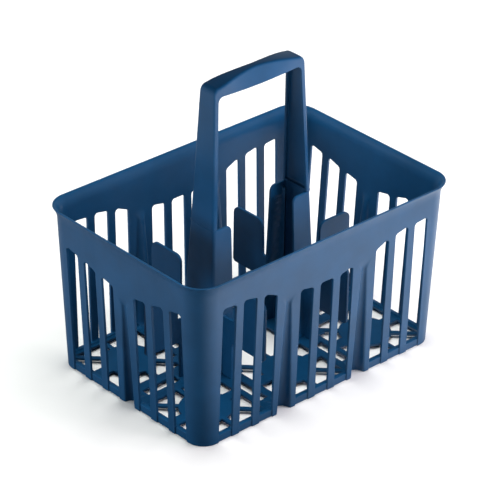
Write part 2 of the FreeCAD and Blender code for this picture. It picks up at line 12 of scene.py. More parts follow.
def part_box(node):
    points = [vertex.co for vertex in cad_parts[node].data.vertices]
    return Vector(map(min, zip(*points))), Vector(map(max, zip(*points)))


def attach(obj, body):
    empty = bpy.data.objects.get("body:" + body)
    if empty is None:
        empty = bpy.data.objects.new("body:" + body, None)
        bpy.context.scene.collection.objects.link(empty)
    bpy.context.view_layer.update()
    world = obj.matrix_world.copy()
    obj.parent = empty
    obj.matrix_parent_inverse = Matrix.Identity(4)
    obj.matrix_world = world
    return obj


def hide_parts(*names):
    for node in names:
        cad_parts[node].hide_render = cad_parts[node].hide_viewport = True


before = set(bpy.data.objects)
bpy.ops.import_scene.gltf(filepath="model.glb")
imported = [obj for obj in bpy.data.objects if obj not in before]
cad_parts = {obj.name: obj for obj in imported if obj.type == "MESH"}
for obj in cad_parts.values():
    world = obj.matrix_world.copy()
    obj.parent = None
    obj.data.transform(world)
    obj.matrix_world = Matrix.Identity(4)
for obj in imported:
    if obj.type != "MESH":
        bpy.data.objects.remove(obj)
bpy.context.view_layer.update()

MM = 0.001


def node_box(node):
    """A CAD node's lowest and highest corners in millimetres, to a tenth."""
    return [[round(side / MM, 1) for side in corner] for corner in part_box(node)]


BASKET_TOP = node_box("basket")[1]
DIVIDER_TOP = node_box("divider_right")[1]
BOW_FOOT, BOW_TOP = node_box("handle_bow")

# The camera, in degrees and millimetres about the caddy's own frame.
AZIMUTH = 42.616
ELEVATION = 29.972
ROLL = 0.957
DISTANCE = 2826.93
TARGET = Vector((-0.73, -0.878, 116.561)) * MM
SENSOR = 36.0
LENS = 205.95
CLIP_END = 20.0


def make_camera():
    azimuth = math.radians(AZIMUTH)
    elevation = math.radians(ELEVATION)
    roll = math.radians(ROLL)
    back = Vector((-math.sin(azimuth) * math.cos(elevation),
                   -math.cos(azimuth) * math.cos(elevation), math.sin(elevation)))
    level = (-back).cross(Vector((0, 0, 1))).normalized()
    upright = level.cross(-back)
    right = level * math.cos(roll) + upright * math.sin(roll)
    up = upright * math.cos(roll) - level * math.sin(roll)
    data = bpy.data.cameras.new("camera")
    data.lens = LENS
    data.sensor_width = SENSOR
    data.clip_end = CLIP_END
    camera = bpy.data.objects.new("camera", data)
    bpy.context.scene.collection.objects.link(camera)
    turn = Matrix((right, up, back)).transposed().to_4x4()
    camera.matrix_world = Matrix.Translation(TARGET + back * DISTANCE * MM) @ turn
    bpy.context.scene.camera = camera


make_camera()


# ---------------------------------------------------------------- studio

FLOOR_SIZE = 7.0
PAPER = (0.9, 0.89, 0.88, 1)
PAPER_ROUGHNESS = 0.9
PAPER_SHINE = 0.1
# What the paper throws back, in grey, at shares of the way across the set: painted bounce light, a
# painted bright band on the key light's side and painted shade under the caddy.
PAINTED_BOUNCE_REACH = 0.6
PAINTED_BOUNCE_STOPS = ((0.1, 0.4), (0.46, 0.05), (0.68, 1.0))
SKY = (0.85, 0.95, 1, 1)
# The sky's strength falls off with height: from and to these heights, from and to these values.
WORLD_RANGE = (0.0, 0.6, 0.65, 0.0)
BACKDROP = 1.3
# Soft boxes: place, size, power and colour.
LIGHTS = {
    "key": ((1.2, -1.5, 0.95), (1.6, 1.4), 34, (1, 0.9, 1)),
    "overhead": ((0.2, 0.3, 3.0), (3.0, 3.0), 145, (0.97, 1, 0.98)),
    "inside": ((-0.1, 0.0, 1.5), (0.9, 0.9), 14, (0.9, 1, 1)),
    "fill": ((-1.6, 1.0, 0.5), (1.2, 1.0), 24, (1, 0.92, 1)),
    "leg": ((-1.6, -0.1, 0.4), (0.4, 0.4), 12, (1, 0.92, 1)),
    "grip": ((0.45, -1.3, 0.75), (0.3, 0.3), 7, (1, 0.9, 1)),
}
SIDEWAYS = Vector((math.cos(math.radians(AZIMUTH)), -math.sin(math.radians(AZIMUTH)), 0))


def new_material(name):
    material = bpy.data.materials.new(name)
    material.use_nodes = True
    return material, material.node_tree.nodes, material.node_tree.links


def add_node(nodes, kind, **values):
    node = nodes.new(kind)
    for name, value in values.items():
        node.inputs[name.replace("_", " ")].default_value = value
    return node


def add_ramp(nodes, low, high, low_value, high_value):
    """A grey ramp between two places."""
    ramp = nodes.new("ShaderNodeMapRange")
    for name, value in zip(("From Min", "From Max", "To Min", "To Max"),
                           (low, high, low_value, high_value)):
        ramp.inputs[name].default_value = value
    return ramp


def make_group(name, members):
    group = bpy.data.collections.new(name)
    bpy.context.scene.collection.children.link(group)
    for member in members:
        group.objects.link(member)
    return group


def make_floor():
    """Pale paper. Seen by the camera it is plain; what it throws back at the caddy is painted into
    its colour: a painted bright band on the key light's side, painted shade under the caddy and dim
    beyond, as with a black flag on the set."""
    mesh = bpy.data.meshes.new("floor")
    shape = bmesh.new()
    bmesh.ops.create_grid(shape, x_segments=2, y_segments=2, size=FLOOR_SIZE / 2)
    shape.to_mesh(mesh)
    shape.free()
    floor = bpy.data.objects.new("floor", mesh)
    material, nodes, links = new_material("floor_paper")
    surface = nodes["Principled BSDF"]
    surface.inputs["Roughness"].default_value = PAPER_ROUGHNESS
    surface.inputs["Specular IOR Level"].default_value = PAPER_SHINE
    side = nodes.new("ShaderNodeVectorMath")
    side.operation = "DOT_PRODUCT"
    side.inputs[1].default_value = SIDEWAYS
    links.new(nodes.new("ShaderNodeTexCoord").outputs["Object"], side.inputs[0])
    across = add_ramp(nodes, -PAINTED_BOUNCE_REACH, PAINTED_BOUNCE_REACH, 0.0, 1.0)
    links.new(side.outputs["Value"], across.inputs["Value"])
    # Painted bounce light, seen only by rays other than the camera's: bright on the key light's
    # side, painted shade under the caddy, dim beyond.
    painted_bounce = nodes.new("ShaderNodeValToRGB")
    painted_bounce.color_ramp.elements.new(PAINTED_BOUNCE_STOPS[1][0])
    for element, (position, level) in zip(painted_bounce.color_ramp.elements, PAINTED_BOUNCE_STOPS):
        element.position = position
        element.color = (level, level, level, 1)
    links.new(across.outputs["Result"], painted_bounce.inputs["Fac"])
    seen = nodes.new("ShaderNodeMix")
    seen.data_type = "RGBA"
    seen.inputs["B"].default_value = PAPER
    links.new(nodes.new("ShaderNodeLightPath").outputs["Is Camera Ray"], seen.inputs["Factor"])
    links.new(painted_bounce.outputs["Color"], seen.inputs["A"])
    links.new(seen.outputs["Result"], surface.inputs["Base Color"])
    mesh.materials.append(material)
    return make_group("stage", (floor,))


def make_light(name, only=None):
    """A soft box that looks at the caddy. With only set, it lights that collection alone."""
    place, size, power, colour = LIGHTS[name]
    data = bpy.data.lights.new(name, "AREA")
    data.shape = "RECTANGLE"
    data.size, data.size_y = size
    data.energy = power
    data.color = colour
    light = bpy.data.objects.new(name, data)
    bpy.context.scene.collection.objects.link(light)
    light.location = place
    light.visible_glossy = False
    light.rotation_euler = (TARGET - Vector(place)).to_track_quat("-Z", "Y").to_euler()
    if only is not None:
        light.light_linking.receiver_collection = only


def make_world():
    world = bpy.data.worlds.new("studio")
    bpy.context.scene.world = world
    world.use_nodes = True
    background = world.node_tree.nodes["Background"]
    background.inputs["Color"].default_value = SKY
    nodes, links = world.node_tree.nodes, world.node_tree.links
    parts = nodes.new("ShaderNodeSeparateXYZ")
    links.new(nodes.new("ShaderNodeTexCoord").outputs["Generated"], parts.inputs["Vector"])
    height = add_ramp(nodes, *WORLD_RANGE)
    links.new(parts.outputs["Z"], height.inputs["Value"])
    backdrop = nodes.new("ShaderNodeMix")
    backdrop.inputs["B"].default_value = BACKDROP
    links.new(nodes.new("ShaderNodeLightPath").outputs["Is Camera Ray"], backdrop.inputs["Factor"])
    links.new(height.outputs["Result"], backdrop.inputs["A"])
    links.new(backdrop.outputs["Result"], background.inputs["Strength"])


bpy.context.scene.view_settings.view_transform = "Standard"
make_world()
STAGE = make_floor()
make_light("key")
make_light("overhead", only=STAGE)


# ---------------------------------------------------------------- plates
#
# A plate is a closed sheet with rounded edges. Its outline is drawn flat, in millimetres, and
# place(u, v, depth) puts each of its points in the caddy's frame.

EDGE_STEPS = 3
WELD = 0.002
MITRE_LIMIT = 0.2
SAME_POINT = 1e-6


def circle_points(centre, radius, start, end, count):
    """Points along an arc, in degrees."""
    angles = np.radians(np.linspace(start, end, count))
    return [(centre[0] + radius * math.cos(a), centre[1] + radius * math.sin(a)) for a in angles]


def subdivide(points, step, closed=True):
    """The same outline with no edge longer than step."""
    result = []
    last = len(points) if closed else len(points) - 1
    for index in range(last):
        start = np.array(points[index], float)
        end = np.array(points[(index + 1) % len(points)], float)
        if np.linalg.norm(end - start) < WELD:
            continue
        count = max(1, math.ceil(np.linalg.norm(end - start) / step))
        result += [tuple(start + (end - start) * k / count) for k in range(count)]
    if not closed:
        result.append(tuple(points[-1]))
    return result


def edge_profile(thickness, radius):
    """Rows round an edge, from the face to the back: share of inset, and depth."""
    rows = []
    for step in range(EDGE_STEPS + 1):
        angle = step / EDGE_STEPS * math.pi / 2
        rows.append((1 - math.sin(angle), radius * (1 - math.cos(angle))))
    return rows + [(inset, thickness - depth) for inset, depth in reversed(rows)]


def inset_directions(loop, seams):
    """For each point of a loop, the way into the plate. The edges in seams stay in place."""
    points = np.array(loop, float)
    along = np.roll(points, -1, axis=0) - points
    along /= np.linalg.norm(along, axis=1)[:, None]
    after = np.stack([-along[:, 1], along[:, 0]], axis=1)
    free = np.array([edge not in seams for edge in range(len(loop))])
    before, free_before = np.roll(after, 1, axis=0), np.roll(free, 1)
    both = (before + after) / np.maximum(1 + np.sum(before * after, axis=1), MITRE_LIMIT)[:, None]
    result = np.where(free_before[:, None], before, 0.0)
    result = np.where(free[:, None], after, result)
    return np.where((free & free_before)[:, None], both, result)


def inside(points, loops):
    """Which points lie inside the loops, holes counted out."""
    crossings = np.zeros(len(points), int)
    x, y = points[:, 0], points[:, 1]
    for loop in loops:
        ends = np.array(loop, float)
        for (x0, y0), (x1, y1) in zip(ends, np.roll(ends, -1, axis=0)):
            if y0 == y1:
                continue
            rows = (y0 > y) != (y1 > y)
            crossings += rows & (x < x0 + (y - y0) * (x1 - x0) / (y1 - y0))
    return crossings % 2 == 1


def far_from(points, anchors, gap):
    """Which points keep at least a gap from every anchor."""
    tree = KDTree(len(anchors))
    for index, anchor in enumerate(anchors):
        tree.insert((*anchor, 0), index)
    tree.balance()
    return np.array([tree.find((*point, 0))[2] > gap for point in points], bool)


def triangles_of(loops, extra):
    """Triangles between the loops, as indices into the loops' points and then the extra ones."""
    points = [Vector(p) for loop in loops for p in loop] + [Vector(p) for p in extra]
    edges = []
    first = 0
    for loop in loops:
        edges += [(first + k, first + (k + 1) % len(loop)) for k in range(len(loop))]
        first += len(loop)
    found, _, faces, origins, _, _ = delaunay_2d_cdt(points, edges, [], 0, SAME_POINT)
    faces = [f for f in faces if len(f) == 3]
    middles = np.array([np.mean([found[k] for k in f], axis=0) for f in faces])
    keep = inside(middles, loops)
    return [tuple(origins[k][0] for k in f) for f, kept in zip(faces, keep) if kept]


def plate(shape, loops, place, thickness, radius, grid=(), seams=(), radius_at=None):
    """Adds a plate to a bmesh. Loops run with the plate on their left."""
    outlines = [np.array(loop, float) for loop in loops]
    ways = [inset_directions(loop, seams if n == 0 else ()) for n, loop in enumerate(loops)]
    sizes = [np.ones(len(loop)) if radius_at is None else radius_at(loop) for loop in outlines]
    profile = edge_profile(thickness, radius)
    inner = [o + w * radius * s[:, None] for o, w, s in zip(outlines, ways, sizes)]
    grid = np.array(grid, float).reshape(-1, 2)
    if len(grid):
        grid = grid[inside(grid, inner)]
        grid = grid[far_from(grid, np.concatenate(inner), GRID_GAP)]
    faces = triangles_of([o.tolist() for o in inner], grid.tolist())
    flat = np.concatenate(outlines)
    way = np.concatenate(ways)
    size = np.concatenate(sizes)[:, None]
    rows = []
    for number, (share, depth) in enumerate(profile):
        spots = flat + way * radius * size * share
        front = number < len(profile) / 2
        sunk = depth * size[:, 0] if front else thickness - (thickness - depth) * size[:, 0]
        rows.append([shape.verts.new(p) for p in place(spots[:, 0], spots[:, 1], sunk) * MM])
    fronts, backs = list(rows[0]), list(rows[-1])
    if len(grid):
        for side, depth in ((fronts, 0.0), (backs, thickness)):
            spots = place(grid[:, 0], grid[:, 1], np.full(len(grid), depth)) * MM
            side.extend(shape.verts.new(p) for p in spots)
    for a, b, c in faces:
        shape.faces.new((fronts[a], fronts[b], fronts[c]))
        shape.faces.new((backs[c], backs[b], backs[a]))
    first = 0
    for number, loop in enumerate(loops):
        for k in range(len(loop)):
            if number == 0 and k in seams:
                continue
            i, j = first + k, first + (k + 1) % len(loop)
            for near, far in zip(rows, rows[1:]):
                shape.faces.new((near[i], far[i], far[j], near[j]))
        first += len(loop)


# ---------------------------------------------------------------- basket

# Length, width and corner radius at the foot, at the neck under the lip, and at the rim.
FOOT = (313.0, 214.0, 19.0)
NECK = (331.0, 223.7, 24.0)
RIM = (2 * BASKET_TOP[0], 2 * BASKET_TOP[1], 27.0)
NECK_LEVEL = 167.0
RIM_LEVEL = BASKET_TOP[2]
FLARE = 2.35
WALL = 2.8
BAND = 5.6
BAND_LEVEL = 8.0
EDGE = 0.5
RIM_ROUNDING = 2.3
GRID_GAP = 1.1

# The wall unrolled: four straight stretches and a corner after each.
HALF_LONG = 136.0
HALF_SHORT = 86.0
TURN = 40.0
ARC_START = 0.1
ARC_END = 0.92
WALLS = ((0.0, HALF_LONG), (HALF_LONG + TURN + HALF_SHORT, HALF_SHORT),
         (2 * (HALF_LONG + TURN + HALF_SHORT), HALF_LONG),
         (3 * (HALF_LONG + TURN + HALF_SHORT), HALF_SHORT))
AROUND = 4 * (HALF_LONG + TURN + HALF_SHORT)
SEAM = -HALF_LONG - TURN / 2


def wall_section(level):
    """Length, width and corner radius of the outer face at a level."""
    share = np.clip(level / NECK_LEVEL, None, 1.0)
    rise = np.clip((level - NECK_LEVEL) / (RIM_LEVEL - NECK_LEVEL), 0.0, 1.0) ** FLARE
    return [foot + (neck - foot) * share + (rim - neck) * rise
            for foot, neck, rim in zip(FOOT, NECK, RIM)]


CELL_PITCH = 100.0
FLUTE_MOUTH = 2.2
FLUTE_ROOT = 1.6
GROOVE_SHARE = 0.5
MOUTH_SHARE = 0.78
LONG_FLUTE = {"zone": 14.0, "foot": 8.0, "tip": 3.2, "top": 130.0}
SHORT_FLUTE = {"zone": 13.5, "foot": 6.2, "tip": 3.2, "top": 120.0}
FLUTE_SINK = 2.5
FLUTE_RISE = 1.4
FLUTE_FADE = (8.0, 5.0)
FLUTE_PAST = 1.1
FLUTE_LEAST = 0.01


def is_long(number):
    """The walls are numbered round the basket from the front one; the even ones are long."""
    return number % 2 == 0


def flutes_of(number):
    """The kind of flute that a wall has, and where its flutes lie along it."""
    if is_long(number):
        return LONG_FLUTE, (-CELL_PITCH / 2, CELL_PITCH / 2)
    return SHORT_FLUTE, (0.0,)


def flute_profile(share, level, flute, base, extra, mouth):
    """Where a point of a flute's zone lies: its distance from the flute's axis and its depth."""
    climb = np.clip(level / flute["top"], 0.0, FLUTE_PAST)
    radius = flute["foot"] + (flute["tip"] - flute["foot"]) * climb + extra
    centre = FLUTE_SINK - (FLUTE_SINK + FLUTE_RISE) * climb
    drop = base + mouth - centre
    reach = np.sqrt(np.maximum((radius + mouth) ** 2 - drop ** 2, FLUTE_LEAST))
    tangent = np.arctan2(reach, drop)
    size = np.abs(share)
    swing = np.clip(size / GROOVE_SHARE, 0, 1) * tangent
    lean = (1 - np.clip((size - GROOVE_SHARE) / (MOUTH_SHARE - GROOVE_SHARE), 0, 1)) * tangent
    flat = np.clip((size - MOUTH_SHARE) / (1 - MOUTH_SHARE), 0, 1)
    across = np.where(size <= GROOVE_SHARE, radius * np.sin(swing),
                      reach - mouth * np.sin(lean) + (flute["zone"] - reach) * flat)
    depth = np.where(size <= GROOVE_SHARE, centre + radius * np.cos(swing),
                     base + mouth - mouth * np.cos(lean))
    low, high = flute["top"] - FLUTE_FADE[0], flute["top"] + FLUTE_FADE[1]
    fade = np.clip((high - level) / (high - low), 0, 1)
    fade = fade * fade * (3 - 2 * fade)
    across = np.sign(share) * (size * flute["zone"] * (1 - fade) + across * fade)
    return across, base * (1 - fade) + depth * fade


def wall_place(u, level, depth, flutes=True):
    """The point of the wall that lies round by u, at a level and a depth below the outer face."""
    length, width, corner = wall_section(level)
    result = np.zeros((len(u), 3))
    result[:, 2] = level
    for number, (middle, half) in enumerate(WALLS):
        turn = number * math.pi / 2
        along = np.array((round(math.cos(turn)), round(math.sin(turn))), float)
        out = np.array((along[1], -along[0]))
        half_along, half_out = length / 2, width / 2
        if not is_long(number):
            half_along, half_out = half_out, half_along
        local = (u - middle + AROUND / 2) % AROUND - AROUND / 2
        here = np.abs(local) <= half + WELD
        a = local.copy()
        b = half_out - depth
        if flutes:
            flute, axes = flutes_of(number)
            for axis in axes:
                share = (local - axis) / flute["zone"]
                zone = np.abs(share) <= 1
                x0, d0 = flute_profile(share, level, flute, 0.0, 0.0, FLUTE_MOUTH)
                x1, d1 = flute_profile(share, level, flute, WALL, WALL, FLUTE_ROOT)
                mix = depth / WALL
                a = np.where(zone, axis + x0 + (x1 - x0) * mix, a)
                b = np.where(zone, half_out - (d0 + (d1 - d0) * mix), b)
        result[here, :2] = (np.outer(a, along) + np.outer(b, out))[here]
        t = (local - half) / TURN
        bend = (t > 0) & (t < 1) & ~here
        start = half_along - corner
        swing = np.clip((t - ARC_START) / (ARC_END - ARC_START), 0, 1) * math.pi / 2
        next_start = half_out - corner
        next_half = WALLS[(number + 1) % 4][1]
        after = np.clip((t - ARC_END) / (1 - ARC_END), 0, 1)
        before = np.clip(1 - t / ARC_START, 0, 1)
        a = start + (half - start) * before + (corner - depth) * np.sin(swing)
        b = next_start + (corner - depth) * np.cos(swing)
        b = np.where(t > ARC_END, next_start + (next_half - next_start) * after, b)
        result[bend, :2] = (np.outer(a, along) + np.outer(b, out))[bend]
    return result


SLOT = 17.0
SLOT_PITCH = 26.2
SLOT_CORNER = 3.5
SLOT_ARC = 7
# Levels of the slots' tops at their near and far sides, going outwards.
SLOT_TOPS = {
    "middle": (130.5, 130.5),
    "beside": (130.5, 132.5),
    "long": ((140.5, 145), (148, 150), (150, 151)),
    "short": ((131, 133), (136, 139), (142, 144)),
}


def wall_slots(number):
    """Centre, left top and right top of each slot of a wall, from left to right."""
    found = []
    if is_long(number):
        found.append((0.0, *SLOT_TOPS["middle"]))
        outward = [(SLOT_PITCH, *SLOT_TOPS["beside"])]
        cell, tops = CELL_PITCH, SLOT_TOPS["long"]
    else:
        outward = []
        cell, tops = CELL_PITCH / 2, SLOT_TOPS["short"]
    for step, (near, far) in zip((-1, 0, 1), tops):
        outward.append((cell + step * SLOT_PITCH, near, far))
    for centre, near, far in outward:
        found.append((centre, near, far))
        found.append((-centre, far, near))
    return sorted(found)


def slot_path(centre, left_top, right_top):
    """Up the slot's left side, over its top and down its right side."""
    left, right = centre - SLOT / 2, centre + SLOT / 2
    slope = math.degrees(math.atan2(right_top - left_top, SLOT - 2 * SLOT_CORNER))
    low = (left + SLOT_CORNER, left_top - SLOT_CORNER)
    high = (right - SLOT_CORNER, right_top - SLOT_CORNER)
    path = [(left, 0.0)]
    path += circle_points(low, SLOT_CORNER, 180, 90 + slope, SLOT_ARC)
    path += circle_points(high, SLOT_CORNER, 90 + slope, 0, SLOT_ARC)
    path.append((right, 0.0))
    return path


# The spacing of points along the wall's edges, and of the rows and columns between them.
WALL_STEP = 2.0
ROW_RUNS = ((0, 114, 6), (114, 137, 1.5), (139, 166, 4.5))
LIP_ROWS = 13
COLUMN_STEP = 5.0
COLUMN_CLEAR = 2.0
TURN_COLUMNS = 24
MOUTH_COLUMNS = 3
LEAN_COLUMNS = 6
GROOVE_COLUMNS = 17


def wall_outline():
    """The unrolled wall's outline, its slots open at the foot, and which edges are its seam."""
    foot = [(SEAM, 0.0)]
    for number, (middle, _) in enumerate(WALLS):
        for centre, left_top, right_top in wall_slots(number):
            foot += [(middle + p[0], p[1]) for p in slot_path(centre, left_top, right_top)]
    foot.append((SEAM + AROUND, 0.0))
    bottom = subdivide(foot, WALL_STEP, closed=False)
    rim = [(SEAM + AROUND, RIM_LEVEL), (SEAM, RIM_LEVEL)]
    top = subdivide(rim, WALL_STEP, closed=False)
    rise = wall_rows()[1:-1]
    right = [(SEAM + AROUND, level) for level in rise]
    left = [(SEAM, level) for level in reversed(rise)]
    loop = bottom + right + top + left
    first = len(bottom) - 1
    seams = set(range(first, first + len(right) + 1))
    first = len(bottom) + len(right) + len(top) - 1
    seams |= set(range(first, first + len(left) + 1))
    return loop, seams


def wall_rows():
    """Levels of the wall's mesh, close together where it bends."""
    rows = [level for run in ROW_RUNS for level in np.arange(*run)]
    return rows + list(np.linspace(NECK_LEVEL, RIM_LEVEL, LIP_ROWS))


def flute_shares():
    """Shares of a flute's zone where its mesh has columns, from one side to the other."""
    return np.concatenate([np.linspace(-1, -MOUTH_SHARE, MOUTH_COLUMNS)[:-1],
                           np.linspace(-MOUTH_SHARE, -GROOVE_SHARE, LEAN_COLUMNS)[:-1],
                           np.linspace(-GROOVE_SHARE, GROOVE_SHARE, GROOVE_COLUMNS),
                           np.linspace(GROOVE_SHARE, MOUTH_SHARE, LEAN_COLUMNS)[1:],
                           np.linspace(MOUTH_SHARE, 1, MOUTH_COLUMNS)[1:]])


def wall_grid():
    """Points of the wall's mesh between its edges, close together in the flutes and corners."""
    columns = []
    for number, (middle, half) in enumerate(WALLS):
        flute, axes = flutes_of(number)
        for axis in axes:
            columns += [middle + axis + s * flute["zone"] for s in flute_shares()]
        for place in np.arange(-half, half + COLUMN_STEP / 2, COLUMN_STEP):
            if all(abs(place - axis) > flute["zone"] + COLUMN_CLEAR for axis in axes):
                columns.append(middle + place)
        columns += [middle + half + TURN * t for t in np.linspace(ARC_START, ARC_END, TURN_COLUMNS)]
    columns = [(c - SEAM) % AROUND + SEAM for c in columns]
    return [(c, level) for c in sorted(columns) for level in wall_rows()]


def add_wall(shape):
    loop, seams = wall_outline()

    def sizes(points):
        return np.where(points[:, 1] > NECK_LEVEL, RIM_ROUNDING, 1.0)

    plate(shape, [loop], wall_place, WALL, EDGE, wall_grid(), seams, sizes)


BAND_FACE = 1.2
LONG_KEEP = 9.2
SHORT_KEEP = 7.4


def flute_axes():
    """Where the flutes lie round the wall, and how near the band comes to each."""
    found = []
    for number, (middle, _) in enumerate(WALLS):
        for axis in flutes_of(number)[1]:
            found.append((middle + axis, LONG_KEEP if is_long(number) else SHORT_KEEP))
    return found


def add_band(shape):
    """The thicker foot of the wall, in lengths between the flutes."""
    axes = flute_axes()
    axes.append((axes[0][0] + AROUND, axes[0][1]))

    def place(u, level, depth):
        return wall_place(u, level, BAND_FACE + depth, flutes=False)

    for (start, keep), (end, keep_end) in zip(axes, axes[1:]):
        corners = [(start + keep, 0.0), (end - keep_end, 0.0),
                   (end - keep_end, BAND_LEVEL), (start + keep, BAND_LEVEL)]
        run = np.arange(start + keep + WALL_STEP, end - keep_end - WALL_STEP / 2, WALL_STEP)
        grid = [(u, BAND_LEVEL / 2) for u in run]
        plate(shape, [subdivide(corners, WALL_STEP)], place, BAND - BAND_FACE, EDGE, grid)


# ---------------------------------------------------------------- floor

FLOOR_TOP = 6.0
FLOOR_BOTTOM = 3.0
FLOOR_INSET = 2.4
FLOOR_NOTCH = 1.4
DISC = 27.0
CELL_SIDE = 82.0
CELL_X = 107.5
CELL_Y = 57.5
SPOKE = 5.0
WIDE_SPOKE = 12.0
HATCH = (76.0, 34.0)
PAD = (36.0, 76.0, 32.0)
FLAG_PLANE = 55.0
FLAG_GAP = (43.0, DIVIDER_TOP[1])
SIDE_GAP = (95.0, DIVIDER_TOP[0])
HOOK_SLOT = (10.4, 2.8)
PLAN_ARC = 16
LONG_NOTCH_ARC = 49
SHORT_NOTCH_ARC = 41
DISC_ARC = 73
RIBS = 5
CROSSING = 1e-4
SHORTEST = 0.02
STRAIGHT = 0.002
HOOK_X = 84.0
HOOK_Y = 31.0


def rectangle(x0, y0, x1, y1):
    return [(x0, y0), (x1, y0), (x1, y1), (x0, y1)]


def block(x, y, length, width):
    return rectangle(x - length / 2, y - width / 2, x + length / 2, y + width / 2)


def turned(points, centre, angle):
    turn = math.radians(angle)
    c, s = math.cos(turn), math.sin(turn)
    return [(centre[0] + x * c - y * s, centre[1] + x * s + y * c) for x, y in points]


def wall_plan(level, inset):
    """The wall's outer face at a level, set in."""
    length, width, corner = wall_section(np.array([level]))
    x, y, r = float(length[0]) / 2, float(width[0]) / 2, float(corner[0])
    outline = []
    for sx, sy, start in ((1, -1, -90), (1, 1, 0), (-1, 1, 90), (-1, -1, 180)):
        outline += circle_points((sx * (x - r), sy * (y - r)), r - inset,
                                 start, start + 90, PLAN_ARC)
    return outline, x, y


def floor_edge():
    """The floor's outline, just inside the wall, with a notch at each flute."""
    outline, x, y = wall_plan(FLOOR_BOTTOM, FLOOR_INSET)
    notches = []
    long_notch = LONG_FLUTE["foot"] + FLOOR_NOTCH
    short_notch = SHORT_FLUTE["foot"] + FLOOR_NOTCH
    for side in (-1, 1):
        for axis in (-CELL_PITCH / 2, CELL_PITCH / 2):
            centre = (axis, side * (y - FLUTE_SINK))
            notches.append(circle_points(centre, long_notch, 0, 360, LONG_NOTCH_ARC)[:-1])
        centre = (side * (x - FLUTE_SINK), 0.0)
        notches.append(circle_points(centre, short_notch, 0, 360, SHORT_NOTCH_ARC)[:-1])
    return outline, notches


def floor_shapes():
    """The square cells, and the five shapes that stay whole in each: a disc and four spokes."""
    cells, ribs = [], []
    for column in (-1, 0, 1):
        for row in (-1, 1):
            spot = (column * CELL_X, row * CELL_Y)
            cells.append(block(*spot, CELL_SIDE, CELL_SIDE))
            ribs.append(circle_points(spot, DISC, 0, 360, DISC_ARC)[:-1])
            ribs.append(block(*spot, 2 * CELL_SIDE, WIDE_SPOKE))
            ribs.append(block(*spot, SPOKE, 2 * CELL_SIDE))
            for angle in (45, 135):
                ribs.append(turned(block(0, 0, 4 * CELL_SIDE, SPOKE), spot, angle))
    return cells, ribs


def floor_pads():
    """The two areas that stay whole under the dividers."""
    return [block(end * (PAD[0] + PAD[1]) / 2, 0, PAD[1] - PAD[0], 2 * PAD[2]) for end in (-1, 1)]


def other_openings():
    """The hatch under the grip, the gaps under the flags and the slots for the hooks."""
    found = [block(0, 0, *HATCH)]
    for end in (-1, 1):
        x0, x1 = sorted((end * SIDE_GAP[0], end * SIDE_GAP[1]))
        found.append(rectangle(x0, -SPOKE, x1, SPOKE))
        found.append(block(end * HOOK_X, 0, *HOOK_SLOT))
        for side in (-1, 1):
            y0, y1 = sorted((side * FLAG_GAP[0], side * FLAG_GAP[1]))
            found.append(rectangle(end * FLAG_PLANE - SPOKE, y0, end * FLAG_PLANE + SPOKE, y1))
            found.append(block(end * FLAG_PLANE, side * HOOK_Y, HOOK_SLOT[1], HOOK_SLOT[0]))
    return found


def floor_solid(points):
    """Which points of the floor are material."""
    outline, notches = floor_edge()
    cells, ribs = floor_shapes()
    solid = inside(points, [outline])
    for notch in notches:
        solid &= ~inside(points, [notch])
    opened = np.zeros(len(points), bool)
    for number, cell in enumerate(cells):
        here = inside(points, [cell])
        for rib in ribs[number * RIBS:(number + 1) * RIBS]:
            here &= ~inside(points, [rib])
        opened |= here
    opened &= inside(points, [wall_plan(0.0, BAND)[0]])
    for pad in floor_pads():
        opened &= ~inside(points, [pad])
    for opening in other_openings():
        opened |= inside(points, [opening])
    return solid & ~opened


def outlines_of(shapes, solid):
    """The closed outlines round the solid areas that a set of crossing shapes makes."""
    points, edges = [], []
    for outline in shapes:
        first = len(points)
        points += [Vector(p) for p in outline]
        edges += [(first + k, first + (k + 1) % len(outline)) for k in range(len(outline))]
    found, _, faces, _, _, _ = delaunay_2d_cdt(points, edges, [], 0, CROSSING)
    middles = np.array([np.mean([found[k] for k in f], axis=0) for f in faces])
    kept = [f for f, keep in zip(faces, solid(middles)) if keep]
    sides = {(f[k], f[(k + 1) % len(f)]) for f in kept for k in range(len(f))}
    following = {a: b for a, b in sides if (b, a) not in sides}
    loops = []
    while following:
        start, spot = following.popitem()
        loop = [start]
        while spot != start:
            loop.append(spot)
            spot = following.pop(spot)
        loops.append([tuple(found[k]) for k in loop])
    return [straightened(loop) for loop in loops]


def straightened(loop):
    """The loop without points that lie on a straight run or on top of another."""
    points = [p for k, p in enumerate(loop) if math.dist(p, loop[k - 1]) > SHORTEST]
    kept = []
    for k, point in enumerate(points):
        before = np.subtract(point, points[k - 1])
        after = np.subtract(points[(k + 1) % len(points)], point)
        cross = before[0] * after[1] - before[1] * after[0]
        if abs(cross) > STRAIGHT * np.linalg.norm(before) * np.linalg.norm(after):
            kept.append(point)
    return kept


def add_floor(shape):
    outline, notches = floor_edge()
    cells, ribs = floor_shapes()
    shapes = [outline, wall_plan(0.0, BAND)[0]] + notches + cells + ribs
    shapes += floor_pads() + other_openings()
    loops = outlines_of(shapes, floor_solid)

    def place(x, y, depth):
        return np.stack([x, y, FLOOR_TOP - depth], axis=1)

    plate(shape, loops, place, FLOOR_TOP - FLOOR_BOTTOM, EDGE)


# ---------------------------------------------------------------- dividers

SHOULDER_LEVEL = 315.5
LEG_OUT = (71.5, 58.2)
LEG_HALF = (24.6, 10.7)
LEG_DEPTH = 5.4
SKIN = 2.6
LEG_CORNER = 3.0
SOCKET_LEVEL = DIVIDER_TOP[2]
SOCKET_STEP = 0.4
FACE_CROWN = 1.0
ARM_END = 41.0
ARM_CORNER = 7.0
SHEET = 3.0
GAP = 0.2
CORNER_ARC = 9
SHEET_ARC = 6
SHEET_STEP = 1.6
SOCKET_GRID = 8.0
RAIL_GRID = 10.0
BEND_COLUMNS = 7


